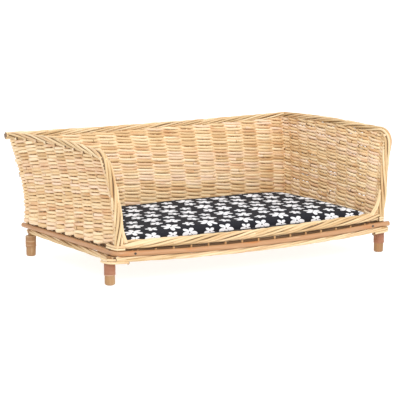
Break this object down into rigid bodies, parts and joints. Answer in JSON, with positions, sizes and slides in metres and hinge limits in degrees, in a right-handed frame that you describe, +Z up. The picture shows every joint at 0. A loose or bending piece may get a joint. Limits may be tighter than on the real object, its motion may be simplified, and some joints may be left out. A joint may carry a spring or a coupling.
{
  "type": "wicker pet bed",
  "caption": "Low rectangular wicker pet bed on four stick legs, with three flared woven walls, an open front with a rolled sill, and a flat printed cushion with a zip.",
  "frame": {"origin": "on the floor, under the middle of the bounding box", "axes": "+X to the right seen from the open front, +Y to the back wall, +Z up"},
  "size_m": [0.8994, 0.563, 0.3397],
  "materials": {
    "weave_willow": "peeled willow rods, satin",
    "border_willow": "pale peeled willow rods, satin",
    "hoop_willow": "smooth steamed willow rod, satin",
    "frame_willow": "smooth willow sticks",
    "leg_wood": "barked and sanded stick",
    "leg_skein": "dark skein binding",
    "nail_steel": "dull steel",
    "printed_cotton": "black cotton with white daisies",
    "wadding": "white polyester wadding",
    "zip_tape": "black woven tape",
    "zip_coil": "black nylon coil",
    "zip_metal": "dark nickel"
  },
  "bodies": {
    "basket": {"back_border": "border_willow", "back_wall_stakes": "weave_willow", "back_wall_wale": "weave_willow", "back_wall_weave": "weave_willow", "base_hoop_back_right": "hoop_willow", "base_hoop_front_left": "hoop_willow", "corner_stake_left": "weave_willow", "corner_stake_right": "weave_willow", "floor_bar_left": "frame_willow", "floor_bar_right": "frame_willow", "floor_sticks": "frame_willow", "floor_weave": "weave_willow", "foot_border_back": "border_willow", "foot_border_front": "border_willow", "foot_border_left": "border_willow", "foot_border_right": "border_willow", "front_post_left": "border_willow", "front_post_right": "border_willow", "front_sill_border": "border_willow", "front_sill_stakes": "weave_willow", "hoop_nails": "nail_steel", "left_wall_stakes": "weave_willow", "left_wall_wale": "weave_willow", "left_wall_weave": "weave_willow", "leg_back_left": "leg_wood", "leg_back_right": "leg_wood", "leg_binding_back_left": "leg_skein", "leg_binding_back_right": "leg_skein", "leg_binding_front_left": "leg_skein", "leg_binding_front_right": "leg_skein", "leg_front_left": "leg_wood", "leg_front_right": "leg_wood", "leg_nails": "nail_steel", "leg_tacks": "nail_steel", "right_wall_stakes": "weave_willow", "right_wall_wale": "weave_willow", "right_wall_weave": "weave_willow", "side_border_left": "border_willow", "side_border_right": "border_willow"},
    "cushion": {"cushion_cover": "printed_cotton", "cushion_filling": "wadding", "zip_tapes": "zip_tape", "zip_coil": "zip_coil", "zip_stops": "zip_metal"},
    "zip_slider": {"zip_slider": "zip_metal"},
    "zip_pull": {"zip_pull": "zip_metal"}
  },
  "joints": [
    {"name": "cushion_lift", "type": "slide", "parent": "basket", "child": "cushion", "axis": [0, 0, 1], "range_m": [0, 0.3]},
    {"name": "zip_slide", "type": "slide", "parent": "cushion", "child": "zip_slider", "axis": [-1, 0, 0], "range_m": [0, 0.56]},
    {"name": "pull_swing", "type": "hinge", "parent": "zip_slider", "child": "zip_pull", "pos_m": [0.28, 0.1877, 0.103], "axis": [0, 0, -1], "range_deg": [0, 180]}
  ]
}
